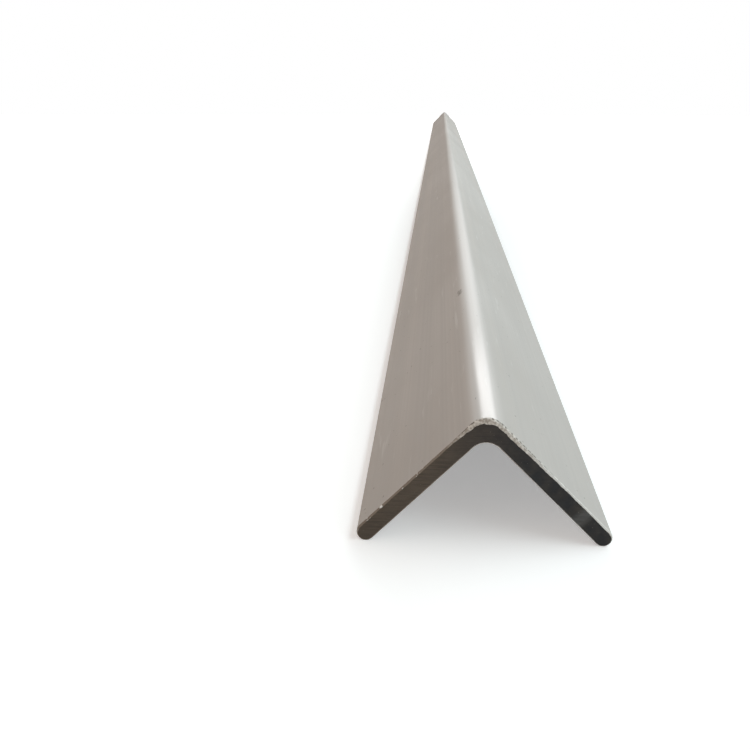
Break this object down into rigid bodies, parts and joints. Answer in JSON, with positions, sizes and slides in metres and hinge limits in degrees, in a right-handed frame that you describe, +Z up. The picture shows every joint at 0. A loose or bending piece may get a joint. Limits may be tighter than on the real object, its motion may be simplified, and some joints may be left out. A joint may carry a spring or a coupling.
{
  "type": "plastic corner trim",
  "caption": "Straight extruded plastic angle with equal legs, a rounded heel and full-round toes, glued over an outside wall corner to cover and protect it.",
  "frame": {"origin": "on the floor below the heel at mid-length, which is the bottom centre of the box", "axes": "+Y along the length, +Z up through the heel, +X across from toe to toe"},
  "size_m": [0.0686, 3, 0.0354],
  "materials": {
    "trim_plastic": "satin light grey, as extruded, with rough sawn ends"
  },
  "bodies": {
    "root": {"corner_trim": "trim_plastic"}
  },
  "joints": []
}
